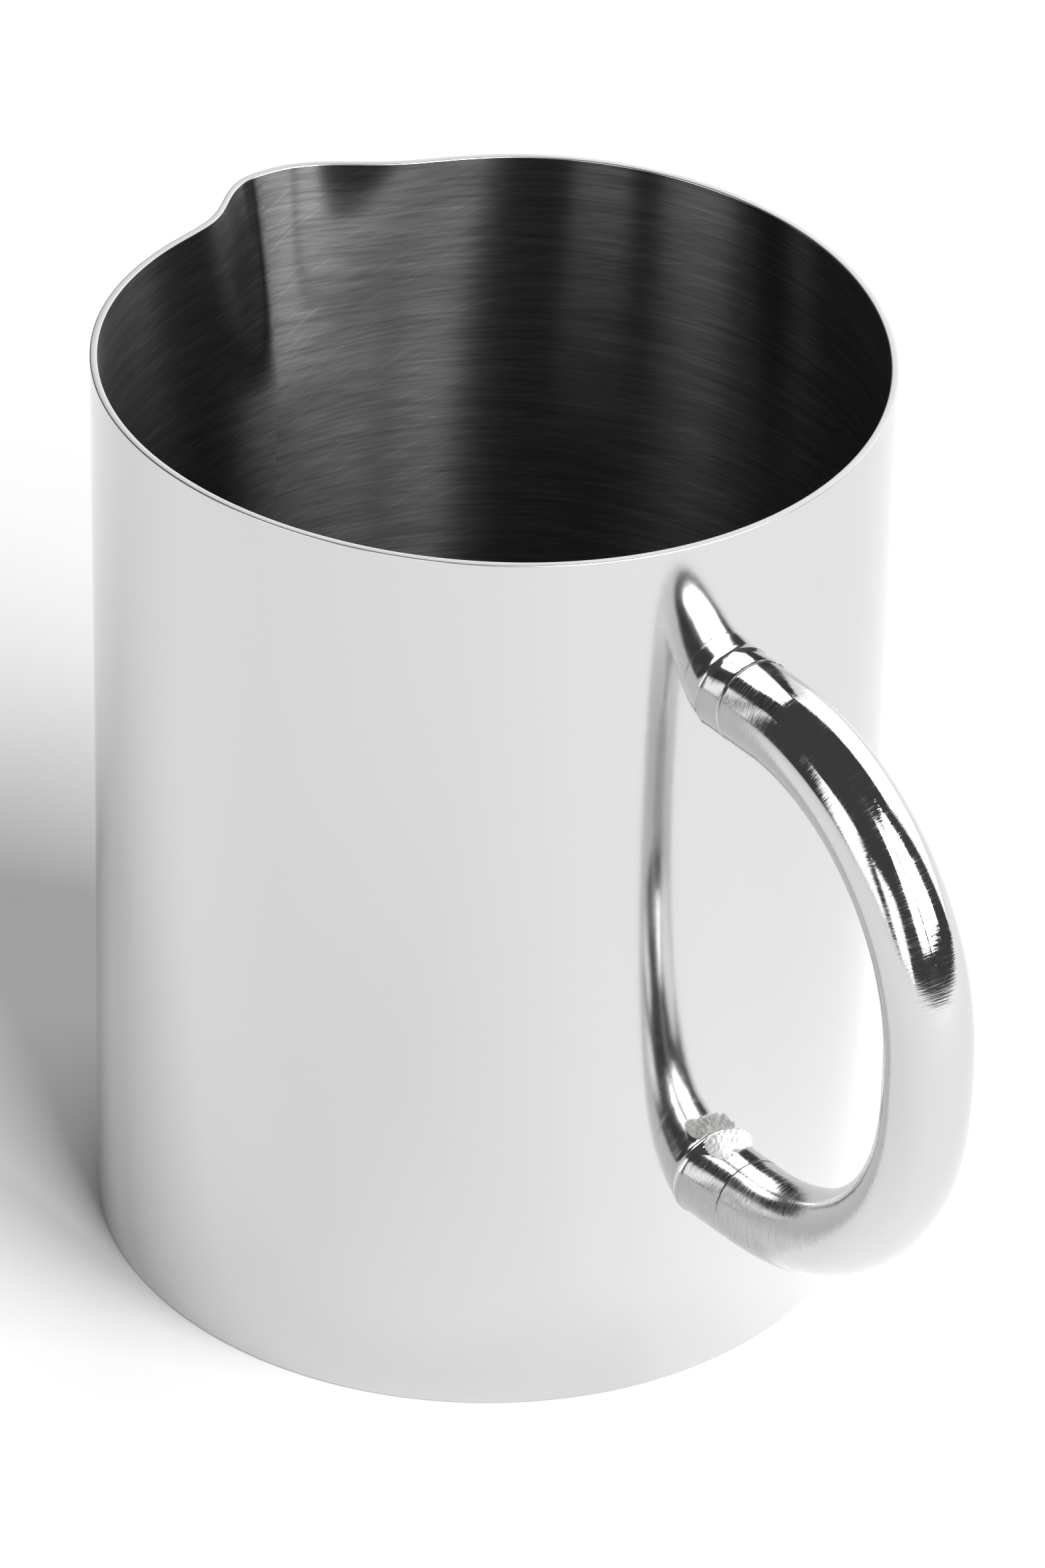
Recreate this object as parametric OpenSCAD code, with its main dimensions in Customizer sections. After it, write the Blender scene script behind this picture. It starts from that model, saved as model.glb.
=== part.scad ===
// Silver cream jug: a straight-walled cup with a pinched pouring lip and a loop
// handle bent from one tube. Millimetres, +Z up. The origin is the centre of the
// underside, the handle points along +X and the lip along -X.

/* [Body] */
// Outside diameter of the body
body_d = 72; // [64:1:84]
// Height of the mouth above the table
body_h = 90; // [84:1:110]
// Thickness of the wall
wall_t = 0.7; // [0.5:0.1:1.2]
// Thickness of the base disc
base_t = 1; // [0.8:0.1:2]
// Leg of the solder fillet in the corner of the base
base_fillet = 0.8; // [0.4:0.1:1.5]
// How far the mouth is out of round, in three soft lobes
mouth_lobe = 0.4; // [0:0.1:0.6]
// Height over which those lobes fade out
lobe_depth = 45; // [30:1:50]

/* [Pouring lip] */
// How far the lip is pushed out of the waist
lip_out = 4.7; // [3:0.1:6]
// Half of the angle that the lip spans at the mouth
lip_angle = 10; // [8:0.5:14]
// How much wider the lip is on its +Y side than on its -Y side
lip_skew = 1.5; // [1:0.1:1.8]
// Height over which the lip runs out into the wall
lip_depth = 23; // [16:1:30]
// How far the wall is drawn in on both sides of the lip
waist_in = 1.8; // [0:0.1:3]
// Half of the angle that the drawn-in wall spans
waist_angle = 30; // [24:1:36]
// Height over which the drawn-in wall fades out
waist_depth = 45; // [30:1:60]

/* [Handle] */
// Outside diameter of the tube
tube_d = 8; // [6:0.5:9]
// Wall of the tube
tube_t = 0.8; // [0.6:0.1:1.2]
// Height of the upper joint above the table
upper_z = 73.8; // [72:0.1:74]
// Upward tilt of the tube where it leaves the wall
upper_tilt = 2; // [0:0.5:4]
// Straight run from the wall to the upper bend
upper_run = 6.3; // [5.5:0.1:8]
// Radius of the upper bend
upper_bend_r = 22.7; // [21:0.1:24]
// Turn of the upper bend
upper_turn = 88.7; // [87:0.1:90]
// Radius of the slightly bowed back
back_r = 57; // [50:1:70]
// Turn of the bowed back
back_turn = 7; // [5:0.5:8]
// Radius of the lower bend
lower_bend_r = 25.3; // [24:0.1:26]
// Turn of the lower bend
lower_turn = 81.4; // [80:0.1:83]

/* [Joints of the handle] */
// Length of the upper stub, from the wall to its seam
upper_stub_l = 3.1; // [2.8:0.1:4]
// Length of the stub on the lower joint, from the wall to its seam
lower_stub_l = 6; // [5:0.1:6]
// Radius of the turned bead at the end of the upper stub
collar_round = 0.5; // [0.4:0.05:1]
// How far that bead stands proud of the tube
collar_proud = 0.1; // [0.05:0.05:0.3]
// Depth of the rounded edge on the seam of the lower stub
seam_edge = 0.1; // [0.1:0.05:0.3]
// Length of the spigot that each stub sends into the tube
spigot_l = 2; // [1.5:0.1:2.5]
// Gap between a spigot and the bore of the tube
spigot_gap = 0.15; // [0.1:0.05:0.25]
// How far the solder spreads over the wall round the upper stub
upper_leg = 0.4; // [0.3:0.1:1]
// How far the solder spreads over the wall round the lower stub
lower_leg = 0.4; // [0.3:0.1:1]
// How far the solder climbs along the lower stub
lower_rise = 1.3; // [0.8:0.1:2]
// Radius of the solder lumps on top of the lower joint
lump_r = 1; // [0.8:0.1:1.2]

/* [Hidden] */
$fn = 96;

silver = [0.86, 0.86, 0.86];
solder = [0.78, 0.78, 0.76];

body_r = body_d / 2;
inner_r = body_r - wall_t;
tube_r = tube_d / 2;
bore_r = tube_r - tube_t;
rim_edge = 0.25;
inner_edge = 0.1;
base_hollow = 0.35;
solder_hollow = 0.3;
into_wall = 2;
band_w = 0.6;
band_t = 0.02;

// ---- wall of the body ----
// Columns of points round the wall, close together at the lip and wide apart behind
columns = 96;
crowding = 0.55;
function column_angle(i) = 360 * i / columns - crowding * 180 / PI * sin(360 * i / columns);

// What is left of a formed shape at this depth below the mouth: 1 at the mouth, 0 at full depth
function left_at(depth, full) = max(0, 1 - depth / full);

// How far an angle is from the lip, on either side, and the same with its wider side drawn in
function off_lip(a) = min(a, 360 - a);
function off_lip_shape(a) = a < 180 ? a : (360 - a) / lip_skew;

// Outward push of the wall at this angle from the lip and depth below the mouth: a lip that is
// blunt at the mouth and runs down into a narrow crease, a wide waist beside it, and three
// lobes round the mouth
function lip_push(a, depth) =
    let (k = left_at(depth, lip_depth), half = lip_angle * (0.45 + 0.55 * k))
    lip_out * pow(k, 1.3) * exp(-pow(off_lip_shape(a) / half, 1.4 + k));
function waist_push(a, depth) =
    -waist_in * pow(left_at(depth, waist_depth), 2) * exp(-pow(off_lip(a) / waist_angle, 2));
function lobe_push(a, depth) =
    -mouth_lobe * pow(left_at(depth, lobe_depth), 1.3) * cos(3 * a);
function push(a, depth) = lip_push(a, depth) + waist_push(a, depth) + lobe_push(a, depth);

function wall_point(a, r, z) =
    let (reach = r + push(a, body_h - z))
    [-reach * cos(a), -reach * sin(a), z];

// Heights of the rings below the rounded rim, closer together near the mouth
steps = 10;
formed_depth = max(waist_depth, lobe_depth);
function ring_z(j) = (body_h - rim_edge) - (formed_depth - rim_edge) * pow(j / steps, 1.4);

// Section of the wall as [radius, height]: up the outside, over the rim, down the inside
section = concat(
    [[body_r, 0]],
    [for (j = [steps : -1 : 0]) [body_r, ring_z(j)]],
    [[body_r - rim_edge * 0.3, body_h - rim_edge * 0.3], [body_r - rim_edge, body_h]],
    [[inner_r + inner_edge, body_h]],
    [for (j = [0 : steps]) [inner_r, ring_z(j)]],
    [[inner_r, 0]]
);

// A closed ring of skin: the section at every column, joined to the next column
module ring_shell(section) {
    n = len(section);
    points = [
        for (i = [0 : columns - 1])
            for (p = section)
                wall_point(column_angle(i), p[0], p[1])
    ];
    faces = [
        for (i = [0 : columns - 1])
            for (j = [0 : n - 1])
                let (
                    next_i = (i + 1) % columns,
                    next_j = (j + 1) % n,
                    a = i * n + j,
                    b = next_i * n + j,
                    c = next_i * n + next_j,
                    d = i * n + next_j
                )
                each [[a, b, c], [a, c, d]]
    ];
    polyhedron(points, [for (f = faces) [f[2], f[1], f[0]]]);
}

module body_wall() {
    color(silver) ring_shell(section);
}

// ---- base ----
// Flat disc let into the bottom end of the wall, flush with its edge
module base_disc() {
    color(silver) cylinder(r = inner_r, h = base_t);
}

// Solder run into the corner between disc and wall, its face hollowed in two flats
module base_solder() {
    color(solder)
        translate([0, 0, base_t])
            rotate_extrude()
                polygon([
                    [inner_r, 0],
                    [inner_r, base_fillet],
                    [inner_r - base_fillet * base_hollow, base_fillet * base_hollow],
                    [inner_r - base_fillet, 0]
                ]);
}

// ---- route of the handle in the XZ plane ----
// Every bend turns clockwise, so its centre lies to the right of the heading
function ahead(heading) = [cos(heading), sin(heading)];
function right_of(heading) = [sin(heading), -cos(heading)];

upper_start = [body_r, upper_z];
upper_end = upper_start + upper_run * ahead(upper_tilt);
upper_centre = upper_end + upper_bend_r * right_of(upper_tilt);
back_heading = upper_tilt - upper_turn;
back_start = upper_centre - upper_bend_r * right_of(back_heading);
back_centre = back_start + back_r * right_of(back_heading);
lower_heading = back_heading - back_turn;
lower_start = back_centre - back_r * right_of(lower_heading);
lower_centre = lower_start + lower_bend_r * right_of(lower_heading);
home_heading = lower_heading - lower_turn;
lower_end = lower_centre - lower_bend_r * right_of(home_heading);
lower_run = (lower_end[0] - body_r) / -cos(home_heading);
lower_wall = lower_end + lower_run * ahead(home_heading);

// The section of the tube
module tube_section() {
    difference() {
        circle(tube_r);
        circle(bore_r);
    }
}

// A straight stretch of tube from a point of the route along a heading
module straight(from, heading, length) {
    translate([from[0], 0, from[1]]) rotate([0, 90 - heading, 0]) linear_extrude(length) tube_section();
}

// A bend of the route, about its centre, that ends at this heading
module bend(centre, bend_r, end_heading, turn) {
    translate([centre[0], 0, centre[1]])
        rotate([90, 0, 0])
            rotate([0, 0, end_heading + 90])
                rotate_extrude(angle = turn) translate([bend_r, 0]) tube_section();
}

// A hair-thin band, inside and out, where one stretch of the tube meets the next
module band(point, heading) {
    along = ahead(heading);
    translate([point[0] - along[0] * band_w / 2, 0, point[1] - along[1] * band_w / 2])
        rotate([0, 90 - heading, 0])
            linear_extrude(band_w)
                difference() {
                    circle(tube_r + band_t);
                    circle(bore_r - band_t);
                }
}

module handle_tube() {
    color(silver) union() {
        straight(upper_start + upper_stub_l * ahead(upper_tilt), upper_tilt, upper_run - upper_stub_l);
        band(upper_end, upper_tilt);
        bend(upper_centre, upper_bend_r, back_heading, upper_turn);
        band(back_start, back_heading);
        bend(back_centre, back_r, lower_heading, back_turn);
        band(lower_start, lower_heading);
        bend(lower_centre, lower_bend_r, home_heading, lower_turn);
        band(lower_end, home_heading);
        straight(lower_end, home_heading, lower_run - lower_stub_l);
    }
}

// ---- stubs and solder on the wall ----
// Section of the solder round a stub: it spreads over the wall by leg, climbs the stub by
// rise, and its face is hollowed in two flats. It starts a little inside the wall
module fillet_section(leg, rise) {
    polygon([
        [tube_r, -into_wall],
        [tube_r + leg, -into_wall],
        [tube_r + leg, 0],
        [tube_r + leg * solder_hollow, rise * solder_hollow],
        [tube_r, rise]
    ]);
}

// Section of a stub: a round body as thick as the tube, and a thinner spigot beyond its seam
module stub_section(body_l, seam) {
    translate([0, -into_wall]) square([tube_r, into_wall + body_l]);
    square([bore_r - spigot_gap, seam + spigot_l]);
}

// Puts a shape that stands along +Z onto the wall, along the tube's own line, and
// takes off whatever would reach into the wall
module on_wall(point, heading) {
    difference() {
        translate([point[0], 0, point[1]]) rotate([0, 90 - heading, 0]) children();
        cylinder(r = body_r, h = body_h, $fn = 360);
    }
}

// The upper stub is a short neck that ends in a turned bead
neck_l = upper_stub_l - 2 * collar_round;
bead_r = tube_r + collar_proud - collar_round;
module upper_stub() {
    color(silver)
        on_wall(upper_start, upper_tilt)
            rotate_extrude() {
                stub_section(neck_l + collar_round, upper_stub_l);
                square([bead_r, upper_stub_l]);
                translate([bead_r, neck_l + collar_round]) circle(collar_round);
            }
}

// The lower stub is plain, with a rounded edge at its seam
module lower_stub() {
    color(silver)
        on_wall(lower_wall, home_heading + 180)
            rotate_extrude() {
                stub_section(lower_stub_l - seam_edge, lower_stub_l);
                square([tube_r - seam_edge, lower_stub_l]);
                translate([tube_r - seam_edge, lower_stub_l - seam_edge]) circle(seam_edge);
            }
}

module upper_solder() {
    color(solder) on_wall(upper_start, upper_tilt) rotate_extrude() fillet_section(upper_leg, neck_l);
}

// The solder of the lower joint is uneven: a row of lumps lies over its top
lumps = 3;
lump_step = 24;
module lower_solder() {
    color(solder)
        on_wall(lower_wall, home_heading + 180)
            difference() {
                union() {
                    rotate_extrude() fillet_section(lower_leg, lower_rise);
                    for (i = [0 : lumps - 1])
                        rotate([0, 0, 196 - lump_step * i])
                            translate([tube_r + 0.2, 0, 1.7 - 0.3 * i])
                                sphere(lump_r - 0.1 * i);
                }
                translate([0, 0, -into_wall]) cylinder(r = tube_r, h = into_wall + lower_stub_l);
            }
}

body_wall();
base_disc();
base_solder();
handle_tube();
upper_stub();
lower_stub();
upper_solder();
lower_solder();
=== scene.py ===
import math

import bpy
import numpy as np
from mathutils import Matrix, Vector


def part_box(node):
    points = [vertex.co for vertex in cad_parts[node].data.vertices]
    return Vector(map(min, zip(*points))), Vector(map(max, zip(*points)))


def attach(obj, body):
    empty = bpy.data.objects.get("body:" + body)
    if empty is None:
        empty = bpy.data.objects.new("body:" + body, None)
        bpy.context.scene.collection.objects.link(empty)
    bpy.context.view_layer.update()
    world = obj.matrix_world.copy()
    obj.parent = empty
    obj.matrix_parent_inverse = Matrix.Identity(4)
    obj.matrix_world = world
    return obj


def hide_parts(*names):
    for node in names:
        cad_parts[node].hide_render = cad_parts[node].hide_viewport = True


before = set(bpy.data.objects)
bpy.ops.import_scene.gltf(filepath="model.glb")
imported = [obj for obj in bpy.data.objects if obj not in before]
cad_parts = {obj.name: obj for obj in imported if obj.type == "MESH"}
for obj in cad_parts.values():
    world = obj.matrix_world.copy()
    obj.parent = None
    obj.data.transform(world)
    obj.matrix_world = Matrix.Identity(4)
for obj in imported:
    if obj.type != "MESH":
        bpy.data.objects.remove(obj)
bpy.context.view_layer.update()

bl_info = {
    "name": "Silver cream jug",
    "version": (1, 0, 0),
    "blender": (4, 5, 0),
    "location": "3D View > Sidebar > Jug",
    "description": "Builds the visible metalwork of a cream jug round its packed frame",
    "category": "Add Mesh",
}

MM = 0.001
WALL_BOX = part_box("body_wall")
DISC_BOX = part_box("base_disc")
STUB_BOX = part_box("lower_stub")
INNER_R = DISC_BOX[1].x
DISC_TOP = DISC_BOX[1].z
MOUTH_Z = WALL_BOX[1].z
TUBE_R = STUB_BOX[1].y
BODY = "root"


# ---------------------------------------------------------------- colours and nodes

def linear(hex_colour):
    """Turns an sRGB hex colour into linear RGBA."""
    srgb = np.array([int(hex_colour[i:i + 2], 16) for i in (0, 2, 4)]) / 255
    rgb = np.where(srgb <= 0.04045, srgb / 12.92, ((srgb + 0.055) / 1.055) ** 2.4)
    return (*rgb.tolist(), 1.0)


def new_material(name):
    """An empty node material with its output and a Principled shader."""
    material = bpy.data.materials.new(name)
    material.use_nodes = True
    tree = material.node_tree
    tree.nodes.clear()
    output = tree.nodes.new("ShaderNodeOutputMaterial")
    shader = tree.nodes.new("ShaderNodeBsdfPrincipled")
    tree.links.new(shader.outputs["BSDF"], output.inputs["Surface"])
    return material, tree, shader


def add(tree, kind, settings=None, **links):
    """Adds a node: settings sets its properties, and links gives each input a socket or a value."""
    node = tree.nodes.new(kind)
    for key, value in (settings or {}).items():
        setattr(node, key, value)
    for key, value in links.items():
        name = key.replace("_", " ")
        socket = node.inputs[int(key[1:])] if key[0] == "i" and key[1:].isdigit() else node.inputs[name]
        if isinstance(value, bpy.types.NodeSocket):
            tree.links.new(value, socket)
        else:
            socket.default_value = value
    return node


# ---------------------------------------------------------------- settings

class JugBodySettings(bpy.types.PropertyGroup):
    wall_t: bpy.props.FloatProperty(
        name="Wall", description="Thickness of the wall", default=0.7 * MM, unit="LENGTH",
        precision=5)
    rim_edge: bpy.props.FloatProperty(
        name="Rim edge", description="Radius on the outer edge of the mouth", default=0.12 * MM,
        unit="LENGTH", precision=5)
    foot_edge: bpy.props.FloatProperty(
        name="Foot edge", description="Radius on the corner at the foot", default=0.2 * MM,
        unit="LENGTH", precision=5)
    mouth_lobe: bpy.props.FloatProperty(
        name="Lobes", description="How far the mouth is out of round", default=0.4 * MM,
        unit="LENGTH", precision=5)
    lobe_depth: bpy.props.FloatProperty(
        name="Lobe depth", description="Height over which the lobes fade", default=45 * MM,
        unit="LENGTH", precision=5)
    lip_out: bpy.props.FloatProperty(
        name="Lip", description="How far the lip is pushed out of the waist", default=4.66 * MM,
        unit="LENGTH", precision=5)
    lip_angle: bpy.props.FloatProperty(
        name="Lip half angle", description="Half of the lip's angle at the mouth",
        default=math.radians(10), subtype="ANGLE")
    lip_skew: bpy.props.FloatProperty(
        name="Lip skew", description="How much wider the lip is on its +Y side", default=1.5)
    lip_depth: bpy.props.FloatProperty(
        name="Lip depth", description="Height over which the lip runs out", default=23 * MM,
        unit="LENGTH", precision=5)
    waist_in: bpy.props.FloatProperty(
        name="Waist", description="How far the wall is drawn in beside the lip", default=1.8 * MM,
        unit="LENGTH", precision=5)
    waist_angle: bpy.props.FloatProperty(
        name="Waist half angle", description="Half of the drawn-in angle", default=math.radians(30),
        subtype="ANGLE")
    waist_depth: bpy.props.FloatProperty(
        name="Waist depth", description="Height over which the waist fades", default=45 * MM,
        unit="LENGTH", precision=5)
    wave: bpy.props.FloatProperty(
        name="Wave", description="Height of the soft waves left in the sheet", default=0.012 * MM,
        unit="LENGTH", precision=6)
    base_fillet: bpy.props.FloatProperty(
        name="Base solder", description="Leg of the solder fillet in the base", default=0.8 * MM,
        unit="LENGTH", precision=5)


class JugHandleSettings(bpy.types.PropertyGroup):
    upper_z: bpy.props.FloatProperty(
        name="Upper joint", description="Height of the upper joint", default=73.8 * MM,
        unit="LENGTH", precision=5)
    upper_tilt: bpy.props.FloatProperty(
        name="Upper tilt", description="Upward tilt where the tube leaves the wall",
        default=math.radians(2), subtype="ANGLE")
    upper_run: bpy.props.FloatProperty(
        name="Upper run", description="Straight run before the upper bend", default=6.3 * MM,
        unit="LENGTH", precision=5)
    upper_bend_r: bpy.props.FloatProperty(
        name="Upper bend", description="Radius of the upper bend", default=22.7 * MM, unit="LENGTH",
        precision=5)
    upper_turn: bpy.props.FloatProperty(
        name="Upper turn", description="Turn of the upper bend", default=math.radians(88.7),
        subtype="ANGLE")
    back_r: bpy.props.FloatProperty(
        name="Back", description="Radius of the slightly bowed back", default=57 * MM, unit="LENGTH",
        precision=5)
    back_turn: bpy.props.FloatProperty(
        name="Back turn", description="Turn of the bowed back", default=math.radians(7),
        subtype="ANGLE")
    lower_bend_r: bpy.props.FloatProperty(
        name="Lower bend", description="Radius of the lower bend", default=25.3 * MM, unit="LENGTH",
        precision=5)
    lower_turn: bpy.props.FloatProperty(
        name="Lower turn", description="Turn of the lower bend", default=math.radians(81.4),
        subtype="ANGLE")
    upper_stub_l: bpy.props.FloatProperty(
        name="Collar", description="Length of the upper collar", default=3.1 * MM, unit="LENGTH",
        precision=5)
    lower_stub_l: bpy.props.FloatProperty(
        name="Lower stub", description="Length of the lower stub", default=6.0 * MM, unit="LENGTH",
        precision=5)
    collar_round: bpy.props.FloatProperty(
        name="Collar bead", description="Radius of the bead that ends the collar", default=0.5 * MM,
        unit="LENGTH", precision=5)
    collar_proud: bpy.props.FloatProperty(
        name="Collar height", description="How far that bead stands proud", default=0.1 * MM,
        unit="LENGTH", precision=5)
    tube_t: bpy.props.FloatProperty(
        name="Tube wall", description="Thickness of the tube's wall", default=0.8 * MM,
        unit="LENGTH", precision=5)
    seam_edge: bpy.props.FloatProperty(
        name="Seam edge", description="Radius of the edges at the two seams", default=0.06 * MM,
        unit="LENGTH", precision=5)
    upper_leg: bpy.props.FloatProperty(
        name="Upper fillet", description="Spread of the upper solder over the wall",
        default=0.4 * MM, unit="LENGTH", precision=5)
    lower_leg: bpy.props.FloatProperty(
        name="Lower fillet", description="Spread of the lower solder over the wall",
        default=0.4 * MM, unit="LENGTH", precision=5)
    lower_rise: bpy.props.FloatProperty(
        name="Lower rise", description="How far the lower solder climbs the stub", default=1.3 * MM,
        unit="LENGTH", precision=5)


class JugFinishSettings(bpy.types.PropertyGroup):
    polished: bpy.props.FloatVectorProperty(
        name="Polished metal", description="Colour of the polished outside", subtype="COLOR", size=4,
        default=linear("CECECE"))
    brushed: bpy.props.FloatVectorProperty(
        name="Brushed metal", description="Colour of the brushed inside", subtype="COLOR", size=4,
        default=linear("909090"))
    solder: bpy.props.FloatVectorProperty(
        name="Solder", description="Colour of the solder", subtype="COLOR", size=4,
        default=linear("C9C9C8"))
    flux: bpy.props.FloatVectorProperty(
        name="Solder lumps", description="Colour of the solder left as it ran", subtype="COLOR",
        size=4, default=linear("E2E2E0"))
    floor: bpy.props.FloatVectorProperty(
        name="Floor", description="Colour of the floor", subtype="COLOR", size=4,
        default=linear("F4F4F4"))
    room: bpy.props.FloatVectorProperty(
        name="Room", description="Colour of the dim room", subtype="COLOR", size=4,
        default=linear("494949"))


class JugStudioSettings(bpy.types.PropertyGroup):
    camera_azimuth: bpy.props.FloatProperty(
        name="Camera azimuth", description="From -Y towards +X", default=math.radians(54),
        subtype="ANGLE")
    camera_reach: bpy.props.FloatProperty(
        name="Camera reach", description="Level distance from the jug's axis", default=679.2 * MM,
        unit="LENGTH")
    camera_height: bpy.props.FloatProperty(
        name="Camera height", description="Height over the floor", default=493.4 * MM, unit="LENGTH")
    aim_right: bpy.props.FloatProperty(
        name="Aim right", description="How far right of the axis it aims", default=3.2 * MM,
        unit="LENGTH")
    aim_height: bpy.props.FloatProperty(
        name="Aim height", description="Height at which it crosses the axis", default=43.96 * MM,
        unit="LENGTH")
    roll: bpy.props.FloatProperty(
        name="Roll", description="Turn of the camera about its own axis", default=0.0280,
        subtype="ANGLE")
    lens: bpy.props.FloatProperty(
        name="Lens", description="Focal length on a 36 mm long side", default=203.83)
    window_glow: bpy.props.FloatProperty(
        name="Window glow", description="Brightness of the window", default=8.4)
    paper_glow: bpy.props.FloatProperty(
        name="Paper glow", description="Brightness of the white card behind", default=1.65)
    doorway_glow: bpy.props.FloatProperty(
        name="Doorway glow", description="Brightness of the strip at the left", default=2.1)
    strip_glow: bpy.props.FloatProperty(
        name="Wall strip glow", description="Brightness of the strip at the far left", default=1.9)


# ---------------------------------------------------------------- mesh helpers

def grid_quads(columns, rows, turned=False):
    """Quads of a grid that closes on itself both ways, and each corner's column and row, counted on past the
    seam."""
    i, j = np.meshgrid(np.arange(columns), np.arange(rows), indexing="ij")
    i, j = i.ravel(), j.ravel()
    column = np.stack([i, i + 1, i + 1, i], 1)
    row = np.stack([j, j, j + 1, j + 1], 1)
    if turned:
        column, row = column[:, ::-1], row[:, ::-1]
    return (column % columns) * rows + row % rows, column, row


def mesh_piece(name, points, turned=False, along=None, face_slots=None, materials=()):
    """Makes a smooth mesh object at the origin from a grid of points that closes both ways. Its UV map holds
    the share of the way round, and the length along in metres where one is given for each row."""
    columns, rows = points.shape[:2]
    quads, column, row = grid_quads(columns, rows, turned)
    mesh = bpy.data.meshes.new(name)
    mesh.vertices.add(columns * rows)
    mesh.vertices.foreach_set("co", np.ascontiguousarray(points, np.float32).ravel())
    mesh.loops.add(quads.size)
    mesh.loops.foreach_set("vertex_index", np.ascontiguousarray(quads, np.int32).ravel())
    mesh.polygons.add(len(quads))
    mesh.polygons.foreach_set("loop_start", np.arange(0, quads.size, 4, dtype=np.int32))
    mesh.polygons.foreach_set("use_smooth", np.ones(len(quads), bool))
    if face_slots is not None:
        mesh.polygons.foreach_set("material_index", np.asarray(face_slots, np.int32))
    if along is not None:
        uv = np.stack([column / columns, np.append(along, along[-1])[row]], -1)
        layer = mesh.uv_layers.new(name="surface")
        layer.data.foreach_set("uv", np.ascontiguousarray(uv, np.float32).ravel())
    mesh.update(calc_edges=True)
    mesh.validate()
    piece = bpy.data.objects.new(name, mesh)
    bpy.context.scene.collection.objects.link(piece)
    for material in materials:
        mesh.materials.append(material)
    return piece


def place(piece, slot, *nodes):
    """Lets a piece ride on the jug and stand for its CAD nodes, which it hides. The slot is not used."""
    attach(piece, BODY)
    if nodes:
        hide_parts(*nodes)


def arc(centre, radius, start, end, count):
    """Points of a circular arc in a section plane, from one angle in degrees to another."""
    angle = np.radians(np.linspace(start, end, count))
    return np.stack([centre[0] + radius * np.cos(angle), centre[1] + radius * np.sin(angle)], 1)


# ---------------------------------------------------------------- materials

def set_inputs(shader, **values):
    """Sets a shader's own sockets."""
    for key, value in values.items():
        shader.inputs[key.replace("_", " ")].default_value = value


def add_bump(tree, shader, height, strength, distance):
    """Raises a bump from a height socket on the shader's normal, on top of any bump already there."""
    normal = shader.inputs["Normal"]
    below = {"Normal": normal.links[0].from_socket} if normal.is_linked else {}
    bump = add(tree, "ShaderNodeBump", Height=height, Strength=strength, Distance=distance, **below)
    tree.links.new(bump.outputs["Normal"], normal)


def surface_lines(tree, girth, long, fine, slant=0.0, detail=2.0):
    """Fine lines that run round a piece of this girth: noise drawn out to a length and squeezed to a pitch,
    in metres, after the surface is turned by the slant."""
    uv = add(tree, "ShaderNodeUVMap", {"uv_map": "surface"}).outputs["UV"]
    flat = add(tree, "ShaderNodeMapping", Vector=uv, Scale=(girth, 1.0, 1.0), Rotation=(0, 0, slant))
    squeeze = add(tree, "ShaderNodeMapping", Vector=flat.outputs["Vector"], Scale=(1 / long, 1 / fine, 1.0))
    lines = add(tree, "ShaderNodeTexNoise", {"noise_dimensions": "2D"}, Vector=squeeze.outputs["Vector"],
                Scale=1.0, Detail=detail)
    return lines.outputs["Fac"]


def spread(tree, value, low, high, first, last):
    """Maps a value from low..high to first..last, held at both ends."""
    return add(tree, "ShaderNodeMapRange", i0=value, i1=low, i2=high, i3=first, i4=last).outputs["Result"]


def calc(tree, operation, first, second):
    """One step of arithmetic on two values."""
    return add(tree, "ShaderNodeMath", {"operation": operation}, i0=first, i1=second).outputs["Value"]


def shaded(tree, shader, colour, share):
    """Sets the shader's colour to a colour times a share."""
    tint = add(tree, "ShaderNodeVectorMath", {"operation": "SCALE"}, i0=colour[:3], Scale=share)
    tree.links.new(tint.outputs["Vector"], shader.inputs["Base Color"])


def buffed_sheet(name, colour):
    """Buffed sheet metal: a bright mirror under a light haze, with faint cloudy patches from the buffing
    wheel. The rim is only stoned flat, so it is duller."""
    material, tree, shader = new_material(name)
    set_inputs(shader, Base_Color=colour, Metallic=1.0)
    where = add(tree, "ShaderNodeTexCoord").outputs["Object"]
    clouds = add(tree, "ShaderNodeTexNoise", Vector=where, Scale=70.0, Detail=5.0, Roughness=0.6)
    height = add(tree, "ShaderNodeSeparateXYZ", Vector=where).outputs["Z"]
    rim = spread(tree, height, MOUTH_Z - 0.1 * MM, MOUTH_Z - 0.03 * MM, 0.0, 0.28)
    rough = calc(tree, "ADD", spread(tree, clouds.outputs["Fac"], 0.3, 0.75, 0.08, 0.13), rim)
    tree.links.new(rough, shader.inputs["Roughness"])
    grain = add(tree, "ShaderNodeTexNoise", Vector=where, Scale=2600.0, Detail=2.0)
    add_bump(tree, shader, grain.outputs["Fac"], 0.12, 0.01 * MM)
    return material


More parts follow.
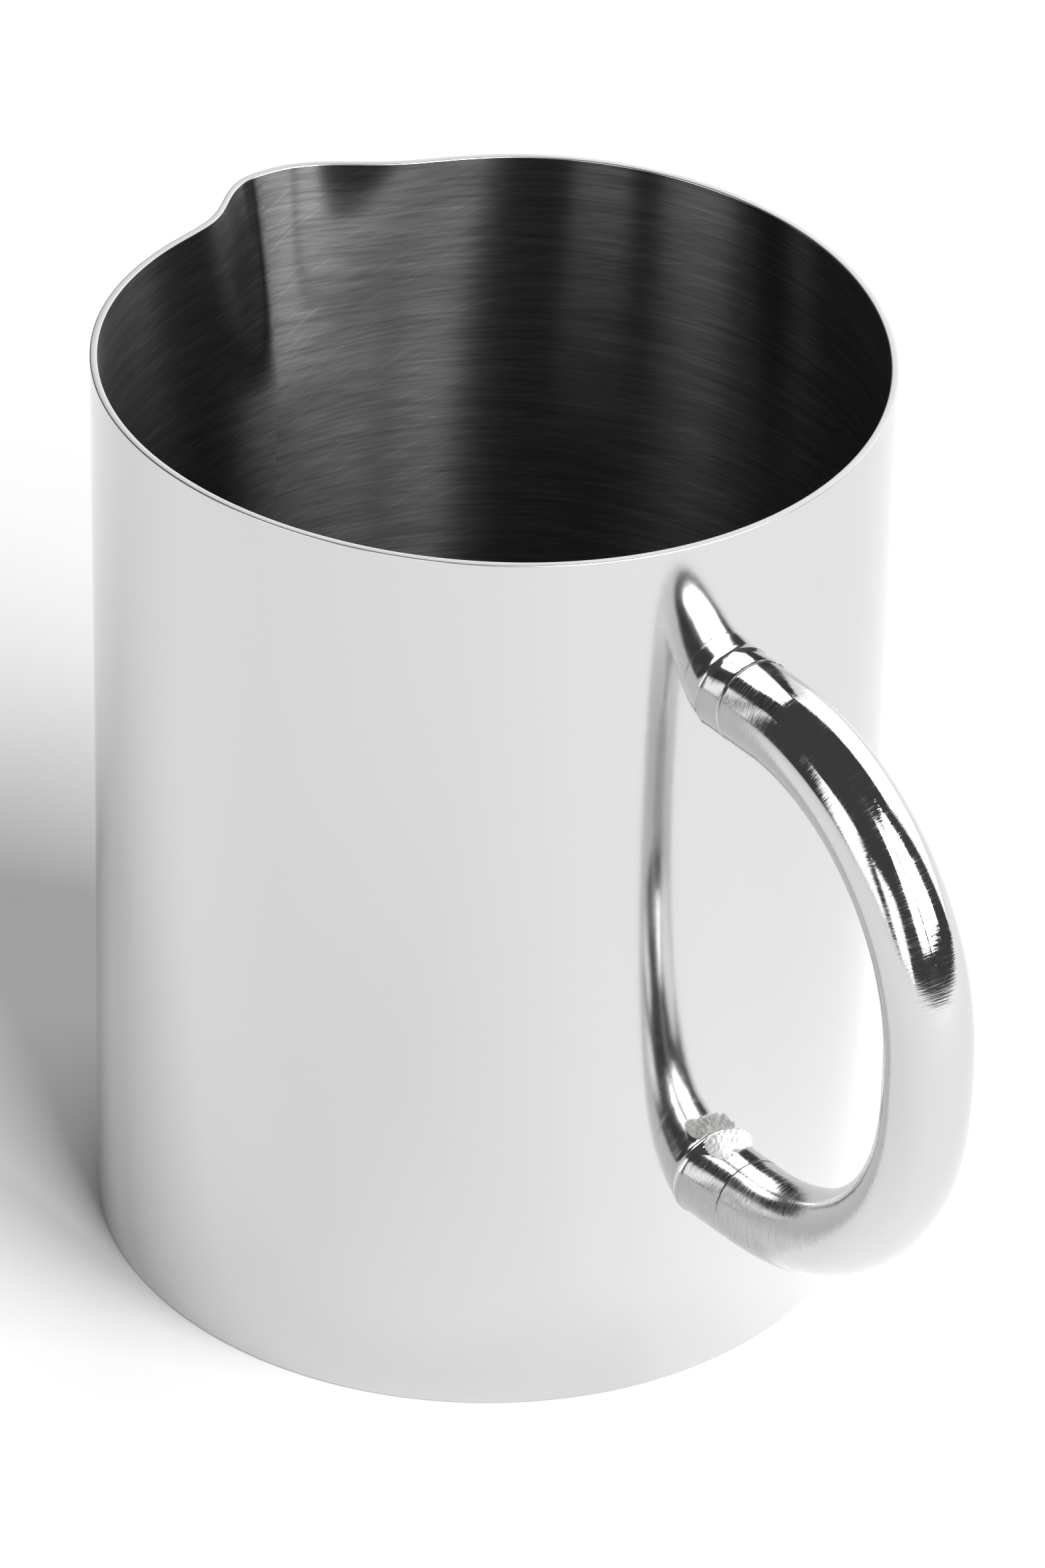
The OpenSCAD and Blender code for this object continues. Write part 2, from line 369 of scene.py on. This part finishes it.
def polished_tube(name, colour, seam, seam_z):
    """Tube polished by hand across its length: a clear mirror with fine scratches round it, so that
    reflections end in ragged combs, slight flats along it, and duller patches, most of all near the lower
    joint. A ragged dark line of painted shade lies in the seam groove, on its upper side, where it is also
    rougher."""
    material, tree, shader = new_material(name)
    set_inputs(shader, Metallic=1.0)
    where = add(tree, "ShaderNodeTexCoord").outputs["Object"]
    girth = 2 * math.pi * TUBE_R
    clouds = add(tree, "ShaderNodeTexNoise", Vector=where, Scale=130.0, Detail=6.0, Roughness=0.7)
    scratches = surface_lines(tree, girth, 3 * MM, 0.12 * MM, 0.06, 3.0)
    hazy = spread(tree, clouds.outputs["Fac"], 0.42, 0.68, 0.03, 0.16)
    height = add(tree, "ShaderNodeSeparateXYZ", Vector=where).outputs["Z"]
    dull = spread(tree, height, 22 * MM, 30 * MM, 0.1, 0.0)
    uv = add(tree, "ShaderNodeUVMap", {"uv_map": "surface"}).outputs["UV"]
    along = add(tree, "ShaderNodeSeparateXYZ", Vector=uv).outputs["Y"]
    # Painted shade in the seam groove: a ragged dark line near the seam, on its upper side only, darkens the
    # colour and roughens it.
    from_seam = calc(tree, "ABSOLUTE", calc(tree, "SUBTRACT", along, seam), 0.0)
    ragged = add(tree, "ShaderNodeTexNoise", Vector=where, Scale=1500.0, Detail=3.0).outputs["Fac"]
    near = spread(tree, from_seam, 0.05 * MM, 0.35 * MM, 1.25, 0.0)
    groove_shade = spread(tree, calc(tree, "MULTIPLY", near, ragged), 0.3, 0.5, 0.0, 1.0)
    groove_shade = calc(tree, "MULTIPLY", groove_shade, spread(tree, height, seam_z, seam_z + 2.5 * MM, 0.0, 0.85))
    shaded(tree, shader, colour, calc(tree, "SUBTRACT", 1.0, groove_shade))
    scratched = spread(tree, scratches, 0.4, 0.75, 0.7, 2.2)
    rough = calc(tree, "MULTIPLY", calc(tree, "ADD", hazy, dull), scratched)
    rough = calc(tree, "ADD", rough, calc(tree, "MULTIPLY", groove_shade, 0.3))
    tree.links.new(rough, shader.inputs["Roughness"])
    add_bump(tree, shader, scratches, 0.5, 0.012 * MM)
    add_bump(tree, shader, surface_lines(tree, girth, 1.8 * MM, 0.22 * MM, -0.08, 3.0), 0.3, 0.012 * MM)
    add_bump(tree, shader, surface_lines(tree, girth, 12 * MM, 1.6 * MM), 0.5, 0.03 * MM)
    return material


def brushed_metal(name, colour):
    """Satin inside, brushed round and round on a lathe: every reflection is drawn out up and down into soft
    upright bands, crossed by fine lines and by longer slanted scratches."""
    material, tree, shader = new_material(name)
    set_inputs(shader, Metallic=1.0, Roughness=0.28, Anisotropic=1.0, Anisotropic_Rotation=0.25)
    tangent = add(tree, "ShaderNodeTangent", {"direction_type": "UV_MAP", "uv_map": "surface"})
    tree.links.new(tangent.outputs["Tangent"], shader.inputs["Tangent"])
    girth = 2 * math.pi * INNER_R
    fine = surface_lines(tree, girth, 9 * MM, 0.3 * MM, 0.02, 3.0)
    coarse = surface_lines(tree, girth, 20 * MM, 1.3 * MM, -0.03)
    slanted = surface_lines(tree, girth, 16 * MM, 0.3 * MM, 0.3, 1.0)
    fine_dark = spread(tree, fine, 0.3, 0.7, 0.8, 1.15)
    coarse_dark = spread(tree, coarse, 0.3, 0.7, 0.88, 1.1)
    slanted_light = spread(tree, slanted, 0.6, 0.75, 1.0, 1.18)
    grooves = calc(tree, "MULTIPLY", fine_dark, coarse_dark)
    shaded(tree, shader, colour, calc(tree, "MULTIPLY", grooves, slanted_light))
    add_bump(tree, shader, fine, 0.35, 0.02 * MM)
    add_bump(tree, shader, coarse, 0.35, 0.05 * MM)
    return material


# ---------------------------------------------------------------- body

def lip_offset(angle, height, s):
    """Outward push of the wall, in metres, at an angle from the lip and a height: a lip that is blunt at the
    mouth and runs down into a narrow crease, the drawn-in waist beside it, and three soft lobes round the
    mouth, each fading with depth."""
    depth = MOUTH_Z - height
    off = (angle + np.pi) % (2 * np.pi) - np.pi
    lip_off = np.where(off < 0, -off / s.lip_skew, off)
    left_lip = np.clip(1 - depth / s.lip_depth, 0, None)
    left_waist = np.clip(1 - depth / s.waist_depth, 0, None)
    left_lobe = np.clip(1 - depth / s.lobe_depth, 0, None)
    half = s.lip_angle * (0.45 + 0.55 * left_lip)
    lip = s.lip_out * left_lip ** 1.3 * np.exp(-(lip_off / half) ** (1.4 + left_lip))
    waist = -s.waist_in * left_waist ** 2 * np.exp(-(off / s.waist_angle) ** 2)
    lobes = -s.mouth_lobe * left_lobe ** 1.3 * np.cos(3 * angle)
    return lip + waist + lobes


def body_section(s):
    """Section of the wall as [inset from the outside, height]: round the foot, up the outside, over the
    rounded rim and down the inside. Rows stand closer together near the mouth, where the lip is formed."""
    fine = 0.05 * MM
    count = 64
    rows = np.linspace(0, 1, count) ** 1.5
    lower, upper = s.foot_edge + fine, MOUTH_Z - s.rim_edge - fine
    outside = np.stack([np.zeros(count), upper - (upper - lower) * rows], 1)[::-1]
    foot = arc((s.foot_edge, s.foot_edge), s.foot_edge, 270, 180, 7)
    rim = arc((s.rim_edge, MOUTH_Z - s.rim_edge), s.rim_edge, 180, 90, 9)
    inner = 0.12 * MM
    lip = arc((s.wall_t - inner, MOUTH_Z - inner), inner, 90, 0, 6)
    inside = np.stack([np.full(count, s.wall_t), (upper - lower) * (1 - rows) + lower], 1)
    heel = np.array([[s.wall_t, 0.02 * MM], [s.wall_t - 0.02 * MM, 0]])
    section = np.concatenate([foot, outside, rim, lip, inside, heel])
    outside_rows = len(foot) + len(outside) + len(rim) + len(lip) - 1
    return section, outside_rows


def body_points(s, columns):
    """The wall: at every angle the section stands at the body's radius plus the lip's push, less faint waves
    that die out at the foot and the mouth. Columns crowd together at the lip."""
    crowding = 0.55
    section, outside_rows = body_section(s)
    turn = np.linspace(0, 2 * np.pi, columns, endpoint=False)
    angle = (turn - crowding * np.sin(turn))[:, None]
    inset, height = section[None, :, 0], section[None, :, 1]
    wave = (np.sin(5 * angle + 40 * height) + np.sin(9 * angle - 25 * height + 1.0)
            + 0.6 * np.sin(14 * angle + 60 * height + 2.0))
    fade = np.clip(np.minimum(height, MOUTH_Z - height) / (8 * MM), 0, 1)
    reach = INNER_R + s.wall_t - inset + lip_offset(angle, height, s) + s.wave * fade * (wave - 2.6)
    points = np.stack([-reach * np.cos(angle), -reach * np.sin(angle), height + 0 * angle], -1)
    return points, section, outside_rows


class JUG_OT_body(bpy.types.Operator):
    """Build the wall of the body with its lip"""
    bl_idname = "jug.body"
    bl_label = "Body wall"

    def execute(self, context):
        scene = context.scene
        s, finish = scene.jug_body, scene.jug_finish
        points, section, outside_rows = body_points(s, 480)
        columns, rows = points.shape[:2]
        slots = (np.tile(np.arange(rows), columns) >= outside_rows).astype(int)
        outside = buffed_sheet("buffed steel, body", tuple(finish.polished))
        inside = brushed_metal("lathe-brushed steel, inside", tuple(finish.brushed))
        piece = mesh_piece("body_shell", points, True, section[:, 1], slots, (outside, inside))
        place(piece, "polished_metal", "body_wall")
        return {"FINISHED"}


class JUG_OT_base(bpy.types.Operator):
    """Finish the base disc and build the solder fillet round it"""
    bl_idname = "jug.base"
    bl_label = "Base"

    def execute(self, context):
        scene = context.scene
        s, finish = scene.jug_body, scene.jug_finish
        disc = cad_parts["base_disc"]
        disc.data.materials.clear()
        disc.data.materials.append(spun_metal("spun steel, base", tuple(finish.brushed)))
        leg = s.base_fillet
        face = arc((INNER_R - leg, DISC_TOP + leg), leg, 0, -90, 10)
        back = np.array([[INNER_R - leg / 2, DISC_TOP], [INNER_R, DISC_TOP], [INNER_R, DISC_TOP + leg / 2]])
        section = np.concatenate([face, back])
        columns = 240
        turn = np.linspace(0, 2 * np.pi, columns, endpoint=False)[:, None]
        points = np.stack([section[:, 0] * np.cos(turn), section[:, 0] * np.sin(turn),
                           section[:, 1] + 0 * turn], -1)
        solder = solder_metal("tin solder, base", tuple(finish.solder), 0.2, 0.3)
        piece = mesh_piece("base_fillet", points, materials=(solder,))
        place(piece, "solder", "base_solder")
        return {"FINISHED"}


def spun_metal(name, colour):
    """Flat disc spun on a lathe: fine rings about its centre."""
    material, tree, shader = new_material(name)
    set_inputs(shader, Base_Color=colour, Metallic=1.0, Roughness=0.28)
    where = add(tree, "ShaderNodeTexCoord").outputs["Object"]
    flat = add(tree, "ShaderNodeMapping", Vector=where, Scale=(1.0, 1.0, 0.0))
    radius = add(tree, "ShaderNodeVectorMath", {"operation": "LENGTH"}, i0=flat.outputs["Vector"])
    rings = add(tree, "ShaderNodeTexNoise", {"noise_dimensions": "1D"}, W=radius.outputs["Value"],
                Scale=2500.0, Detail=2.0)
    add_bump(tree, shader, rings.outputs["Fac"], 0.3, 0.02 * MM)
    return material


def solder_metal(name, colour, roughness, pitted, metallic=1.0):
    """Soft solder, wiped and polished over: brighter than the sheet, with small pits as deep as pitted says.
    Where it was left as it ran, a pale skin of flux dulls it, and it is less metallic."""
    material, tree, shader = new_material(name)
    set_inputs(shader, Base_Color=colour, Metallic=metallic, Roughness=roughness)
    where = add(tree, "ShaderNodeTexCoord").outputs["Object"]
    pits = add(tree, "ShaderNodeTexNoise", Vector=where, Scale=900.0, Detail=3.0)
    add_bump(tree, shader, pits.outputs["Fac"], pitted, 0.06 * MM)
    return material


# ---------------------------------------------------------------- handle

def ahead(heading):
    """Unit step in the XZ plane along a heading."""
    return np.array([math.cos(heading), math.sin(heading)])


def right_of(heading):
    """Unit step in the XZ plane to the right of a heading."""
    return np.array([math.sin(heading), -math.cos(heading)])


def handle_route(h, step):
    """Centreline of the tube in the XZ plane: a straight run, three bends that all turn right, and a straight
    run home to the wall. Returns points, headings and the length so far."""
    body_r = INNER_R + bpy.context.scene.jug_body.wall_t
    here, heading = np.array([body_r, h.upper_z]), h.upper_tilt
    points, headings = [here[None]], [np.array([heading])]

    def run(length):
        nonlocal here
        count = max(2, int(length / step) + 1)
        t = np.linspace(0, length, count)[1:, None]
        points.append(here + t * ahead(heading))
        headings.append(np.full(count - 1, heading))
        here = here + length * ahead(heading)

    def bend(radius, turn):
        nonlocal here, heading
        centre = here + radius * right_of(heading)
        count = max(2, int(radius * turn / step) + 1)
        angle = heading - np.linspace(0, turn, count)[1:]
        points.append(centre - radius * np.stack([np.sin(angle), -np.cos(angle)], 1))
        headings.append(angle)
        here, heading = points[-1][-1], heading - turn

    run(h.upper_run)
    bend(h.upper_bend_r, h.upper_turn)
    bend(h.back_r, h.back_turn)
    bend(h.lower_bend_r, h.lower_turn)
    run((here[0] - body_r) / -math.cos(heading))
    points, headings = np.concatenate(points), np.concatenate(headings)
    length = np.concatenate([[0], np.cumsum(np.linalg.norm(np.diff(points, axis=0), axis=1))])
    return points, headings, length


def sweep(points, headings, radii, columns):
    """Surface of circles of the given radii, square to a route in the XZ plane. The seam lies on its
    underside."""
    turn = np.linspace(0, 2 * np.pi, columns, endpoint=False)[:, None]
    up = np.stack([-np.sin(headings), 0 * headings, np.cos(headings)], 1)
    side = np.array([0.0, 1.0, 0.0])
    centre = np.stack([points[:, 0], 0 * headings, points[:, 1]], 1)
    ring = -np.cos(turn)[..., None] * up[None] - np.sin(turn)[..., None] * side
    return centre[None] + radii[None, :, None] * ring


class JUG_OT_handle(bpy.types.Operator):
    """Build the bent tube of the handle between its two seams"""
    bl_idname = "jug.handle"
    bl_label = "Handle tube"

    def execute(self, context):
        scene = context.scene
        h, finish = scene.jug_handle, scene.jug_finish
        route, headings, length = handle_route(h, 0.25 * MM)
        end = length[-1] - h.lower_stub_l
        edge = h.seam_edge
        easing = np.linspace(0, np.pi / 2, 7)
        start_rows = h.upper_stub_l + edge * (1 - np.cos(easing))
        end_rows = end - edge * (1 - np.cos(easing[::-1]))
        middle = np.arange(start_rows[-1] + 0.05 * MM, end_rows[0] - 0.04 * MM, 0.3 * MM)
        at = np.concatenate([start_rows, middle, end_rows])
        radii = np.full(len(at), TUBE_R)
        radii[:7] = TUBE_R - edge * (1 - np.sin(easing))
        radii[-7:] = TUBE_R - edge * (1 - np.sin(easing[::-1]))
        bore_at = np.arange(h.upper_stub_l, end, 1 * MM)[::-1]
        at = np.concatenate([at, [end - 0.05 * MM], bore_at])
        radii = np.concatenate([radii, np.full(len(bore_at) + 1, TUBE_R - h.tube_t)])
        ripple = ripple_of(at)
        path = np.stack([np.interp(at, length, route[:, k]) for k in (0, 1)], 1)
        turned = np.interp(at, length, headings)
        points = sweep(path, turned, radii + ripple, 128)
        colour = tuple(finish.polished)
        metal = polished_tube("hand-polished steel, handle", colour, h.upper_stub_l, h.upper_z)
        piece = mesh_piece("handle_loop", points, True, at, materials=(metal,))
        place(piece, "polished_metal", "handle_tube")
        return {"FINISHED"}


def ripple_of(at):
    """Faint swellings that bending leaves along a tube, as a sum of sines of the length along it."""
    return 0.004 * MM * (np.sin(at / (1.7 * MM)) + 0.7 * np.sin(at / (0.9 * MM) + 1.0) - 1.7)


# ---------------------------------------------------------------- joints on the wall

def to_wall(point, heading, turn, radius):
    """Length along a stub's axis, from the joint's centre, at which a line at this radius and turn round the
    axis meets the wall: the root of a quadratic for a line and an upright cylinder."""
    body_r = INNER_R + bpy.context.scene.jug_body.wall_t
    x0 = point[0] - radius * np.cos(turn) * math.sin(heading)
    y0 = radius * np.sin(turn)
    return (np.sqrt(np.maximum(body_r ** 2 - y0 ** 2, 0)) - x0) / math.cos(heading)


def about_axis(point, heading, turn, radius, along):
    """Points at a turn, a radius and a length along an axis in the XZ plane. Turn 0 is the top."""
    out_x = -radius * np.cos(turn) * math.sin(heading)
    out_z = radius * np.cos(turn) * math.cos(heading)
    return np.stack([point[0] + along * math.cos(heading) + out_x,
                     radius * np.sin(turn) + 0 * along,
                     point[1] + along * math.sin(heading) + out_z], -1)


def lower_joint(h):
    """Centre of the lower joint on the wall, and the heading from it into the tube."""
    route, headings, _ = handle_route(h, 1 * MM)
    return route[-1], headings[-1] + math.pi


def upper_side(turn):
    """Share of a joint's shape that is left at a turn from its top: 1 at turn 0.4, 0 straight under it."""
    return 0.5 + 0.5 * np.cos(turn - 0.4)


def collar_profile(h):
    """Section of the upper stub as [length along, radius]: a neck that swells softly, as a quarter wave of
    the length, into a bead, whose end closes in round a quarter circle at the seam."""
    edge = 0.5 * h.collar_round
    rows = 36
    along = np.linspace(0.2 * MM, h.upper_stub_l - edge, rows)
    swell = np.sin(np.linspace(0, np.pi / 2, rows)) ** 2
    body = np.stack([along, TUBE_R + h.collar_proud * swell], 1)
    end = arc((h.upper_stub_l - edge, body[-1, 1] - edge), edge, 90, 0, 12)
    return np.concatenate([body[:-1], end])


def plain_profile(h):
    """Section of the lower stub as [length along, radius]: straight, with a rounded edge at the seam."""
    edge, length = h.seam_edge, h.lower_stub_l
    corner = arc((length - edge, TUBE_R - edge), edge, 90, 0, 7)
    body = np.stack([np.linspace(0, length - edge, 26)[1:-1], np.full(24, TUBE_R)], 1)
    return np.concatenate([body, corner])


def stub_points(point, heading, profile, columns):
    """A stub's skin: a turned profile whose foot follows the wall and starts a little inside it, closed at
    the seam. Underneath, where the file reached best, it is nearly flush with the tube."""
    turn = np.linspace(0, 2 * np.pi, columns, endpoint=False)[:, None]
    start = to_wall(point, heading, turn, TUBE_R)
    along = profile[None, :, 0] + start * np.clip(1 - profile[None, :, 0] / (1.3 * MM), 0, 1)
    kept = 0.1 + 0.9 * upper_side(turn)
    radius = TUBE_R + (profile[None, :, 1] - TUBE_R) * kept
    seam = profile[-1, 0]
    core = radius[:, -1:] - 0.3 * MM
    along = np.concatenate([start - 0.05 * MM, start, along, seam + 0 * turn, seam - 0.6 * MM + 0 * turn], 1)
    radius = np.concatenate([TUBE_R + 0 * turn, TUBE_R + 0 * turn, radius, core, core], 1)
    return about_axis(point, heading, turn, radius, along), along[0]


class JUG_OT_stubs(bpy.types.Operator):
    """Build the two stubs that carry the handle"""
    bl_idname = "jug.stubs"
    bl_label = "Handle stubs"

    def execute(self, context):
        scene = context.scene
        h, finish = scene.jug_handle, scene.jug_finish
        upper = (np.array([INNER_R + scene.jug_body.wall_t, h.upper_z]), h.upper_tilt)
        jobs = (("upper_collar", "upper_stub", upper, collar_profile(h)),
                ("lower_collar", "lower_stub", lower_joint(h), plain_profile(h)))
        for name, node, joint, profile in jobs:
            points, along = stub_points(*joint, profile, 160)
            seam, joint_z = profile[-1, 0], joint[0][1]
            metal = polished_tube("hand-polished steel, " + node, tuple(finish.polished), seam, joint_z)
            piece = mesh_piece(name, points, False, along, materials=(metal,))
            place(piece, "polished_metal", node)
        return {"FINISHED"}


def bead_points(point, heading, leg, rise, columns, rows, swell=0.0, lumps=()):
    """Solder round a stub: it spreads over the wall by leg and climbs the stub by rise, with a hollow face
    like a quarter of an ellipse, and swells round turn 0.9. Each lump is a bell of a height and half-widths,
    in turn and along, at its own place, and carries a fine grain. Also returns which faces are lumps."""
    turn = np.linspace(0, 2 * np.pi, columns, endpoint=False)[:, None]
    off = (turn + np.pi) % (2 * np.pi) - np.pi
    more = swell * np.exp(-((off - 0.9) / 0.45) ** 2)
    leg = leg * (0.2 + 0.8 * upper_side(turn) + more)
    rise = rise * (0.3 + 0.7 * upper_side(turn) + more)
    end = rise
    for _, t, t_half, s0, s_half in lumps:
        end = np.maximum(end, rise + (s0 + 1.6 * s_half - rise) * np.exp(-((off - t) / t_half) ** 4 / 6))
    v = np.linspace(0, 1, rows)[None, :] ** 1.4
    along = v * end
    hollow = leg * (1 - np.sqrt(1 - (1 - np.clip(along / rise, 0, 1)) ** 2))
    lift = sum((h * np.exp(-((off - t) / t_half) ** 2 - ((along - s0) / s_half) ** 2)
                for h, t, t_half, s0, s_half in lumps), 0 * along)
    grain = (1 + 0.09 * np.sin(41 * off + along / (0.08 * MM))
             + 0.08 * np.sin(29 * off - along / (0.11 * MM) + 1)
             + 0.07 * np.sin(57 * off + along / (0.2 * MM) + 2))
    height = hollow + lift * grain * (1 - v ** 6)
    r = TUBE_R + height
    face = about_axis(point, heading, turn, r, to_wall(point, heading, turn, r) + along)
    sunk = TUBE_R - 0.05 * MM
    start = to_wall(point, heading, turn, sunk)
    back = about_axis(point, heading, turn, sunk, np.concatenate([start + end, start], 1))
    lumpy = np.concatenate([lift > 0.12 * MM, np.zeros((columns, 2), bool)], 1)
    return np.concatenate([face, back], 1), lumpy.ravel()


class JUG_OT_solder(bpy.types.Operator):
    """Build the solder on the two joints of the handle"""
    bl_idname = "jug.solder"
    bl_label = "Solder"

    def execute(self, context):
        scene = context.scene
        h, finish = scene.jug_handle, scene.jug_finish
        smooth = solder_metal("tin solder, filed", tuple(finish.solder), 0.14, 0.2)
        rough = solder_metal("tin solder, as it ran", tuple(finish.flux), 0.45, 0.7, 0.5)
        upper = (np.array([INNER_R + scene.jug_body.wall_t, h.upper_z]), h.upper_tilt)
        neck = 0.45 * h.upper_stub_l
        # Height, turn from the top, half-width in turn, place along, half-width along
        lumps = ((0.95 * MM, -0.12, 0.20, 1.4 * MM, 0.9 * MM), (1.00 * MM, 0.18, 0.24, 1.3 * MM, 0.9 * MM),
                 (0.95 * MM, 0.52, 0.22, 1.4 * MM, 0.7 * MM), (0.60 * MM, -0.22, 0.15, 2.6 * MM, 0.7 * MM),
                 (0.55 * MM, 0.26, 0.15, 2.3 * MM, 0.5 * MM), (0.55 * MM, 0.80, 0.15, 1.2 * MM, 0.5 * MM))
        points, _ = bead_points(*upper, h.upper_leg, neck, 256, 40)
        place(mesh_piece("upper_bead", points, materials=(smooth,)), "solder", "upper_solder")
        points, lumpy = bead_points(*lower_joint(h), h.lower_leg, h.lower_rise, 320, 72, 1.0, lumps)
        piece = mesh_piece("lower_bead", points, face_slots=lumpy.astype(int), materials=(smooth, rough))
        place(piece, "solder", "lower_solder")
        return {"FINISHED"}


# ---------------------------------------------------------------- studio

FLOOR_HALF = 6.0
CARD_REACH = 2.2
# Name, azimuths, elevations and the setting that holds its glow
CARDS = (
    ("window, near half", (70, 90), (20, 63), "window_glow"),
    ("window, far half", (94, 133), (20, 63), "window_glow"),
    ("paper behind", (162, 240), (0, 54), "paper_glow"),
    ("doorway", (20, 39), (0, 26), "doorway_glow"),
    ("wall strip", (-15, 9), (0, 34), "strip_glow"),
)


def direction(azimuth, elevation):
    """Unit vector to a place in the room. Azimuth 0 is -Y and turns towards +X."""
    level = math.cos(elevation)
    return Vector((math.sin(azimuth) * level, -math.cos(azimuth) * level, math.sin(elevation)))


def area_light(name, size, glow, matrix):
    """A rectangular light of an even brightness, given as radiance, that shines along its own -Z."""
    light = bpy.data.lights.new(name, "AREA")
    light.shape = "RECTANGLE"
    light.size, light.size_y = size
    light.energy = glow * math.pi * size[0] * size[1]
    lamp = bpy.data.objects.new(name, light)
    lamp.matrix_world = matrix
    bpy.context.scene.collection.objects.link(lamp)
    return lamp


def card(name, azimuths, elevations, glow):
    """An upright lit card between two azimuths and two elevations, in degrees, seen from the jug's middle."""
    first, last = azimuths
    width = 2 * CARD_REACH * math.tan(math.radians((last - first) / 2))
    bottom, top = (CARD_REACH * math.tan(math.radians(e)) for e in elevations)
    back = direction(math.radians((first + last) / 2), 0)
    turn = back.to_track_quat("Z", "Y").to_matrix().to_4x4()
    centre = back * CARD_REACH + Vector((0, 0, MOUTH_Z / 2 + (bottom + top) / 2))
    return area_light(name, (width, top - bottom), glow, Matrix.Translation(centre) @ turn)


class JUG_OT_stage(bpy.types.Operator):
    """Build the floor, the lights and the dim room"""
    bl_idname = "jug.stage"
    bl_label = "Stage"

    def execute(self, context):
        scene = context.scene
        studio, finish = scene.jug_studio, scene.jug_finish
        material, tree, shader = new_material("white paper, floor")
        shader.inputs["Base Color"].default_value = tuple(finish.floor)
        shader.inputs["Roughness"].default_value = 0.9
        half = FLOOR_HALF
        corners = [(-half, -half, 0), (half, -half, 0), (half, half, 0), (-half, half, 0)]
        mesh = bpy.data.meshes.new("floor")
        mesh.from_pydata(corners, [], [(0, 1, 2, 3)])
        mesh.materials.append(material)
        floor = bpy.data.objects.new("floor", mesh)
        scene.collection.objects.link(floor)
        for name, azimuths, elevations, glow in CARDS:
            card(name, azimuths, elevations, getattr(studio, glow))
        world = bpy.data.worlds.new("dim room")
        world.use_nodes = True
        world.node_tree.nodes["Background"].inputs["Color"].default_value = tuple(finish.room)
        scene.world = world
        scene.view_settings.view_transform = "Standard"
        scene.cycles.glossy_bounces = 12
        return {"FINISHED"}


class JUG_OT_camera(bpy.types.Operator):
    """Set up the camera"""
    bl_idname = "jug.camera"
    bl_label = "Camera"

    def execute(self, context):
        scene, studio = context.scene, context.scene.jug_studio
        out = direction(studio.camera_azimuth, 0)
        right = Vector((-out.y, out.x, 0))
        place_at = out * studio.camera_reach + Vector((0, 0, studio.camera_height))
        aim = right * studio.aim_right + Vector((0, 0, studio.aim_height))
        data = bpy.data.cameras.new("camera")
        data.lens = studio.lens
        data.sensor_width = 36
        data.clip_start, data.clip_end = 0.05, 20
        camera = bpy.data.objects.new("camera", data)
        turn = (aim - place_at).to_track_quat("-Z", "Y").to_matrix().to_4x4()
        roll = Matrix.Rotation(studio.roll, 4, "Z")
        camera.matrix_world = Matrix.Translation(place_at) @ turn @ roll
        scene.collection.objects.link(camera)
        scene.camera = camera
        return {"FINISHED"}


class JUG_PT_panel(bpy.types.Panel):
    bl_idname = "JUG_PT_panel"
    bl_label = "Cream jug"
    bl_space_type = "VIEW_3D"
    bl_region_type = "UI"
    bl_category = "Jug"

    def draw(self, context):
        for operator in OPERATORS:
            self.layout.operator(operator.bl_idname)
        for group in GROUPS:
            settings = getattr(context.scene, group)
            for name in settings.__annotations__:
                self.layout.prop(settings, name)


GROUPS = {
    "jug_body": JugBodySettings,
    "jug_handle": JugHandleSettings,
    "jug_finish": JugFinishSettings,
    "jug_studio": JugStudioSettings,
}
OPERATORS = (
    JUG_OT_body, JUG_OT_base, JUG_OT_handle, JUG_OT_stubs, JUG_OT_solder, JUG_OT_stage, JUG_OT_camera,
)


def register():
    for cls in (*GROUPS.values(), *OPERATORS, JUG_PT_panel):
        bpy.utils.register_class(cls)
    for name, cls in GROUPS.items():
        setattr(bpy.types.Scene, name, bpy.props.PointerProperty(type=cls))


def unregister():
    for name in GROUPS:
        delattr(bpy.types.Scene, name)
    for cls in reversed((*GROUPS.values(), *OPERATORS, JUG_PT_panel)):
        bpy.utils.unregister_class(cls)


def main():
    register()
    bpy.ops.jug.body()
    bpy.ops.jug.base()
    bpy.ops.jug.handle()
    bpy.ops.jug.stubs()
    bpy.ops.jug.solder()
    bpy.ops.jug.stage()
    bpy.ops.jug.camera()


if __name__ == "__main__":
    main()
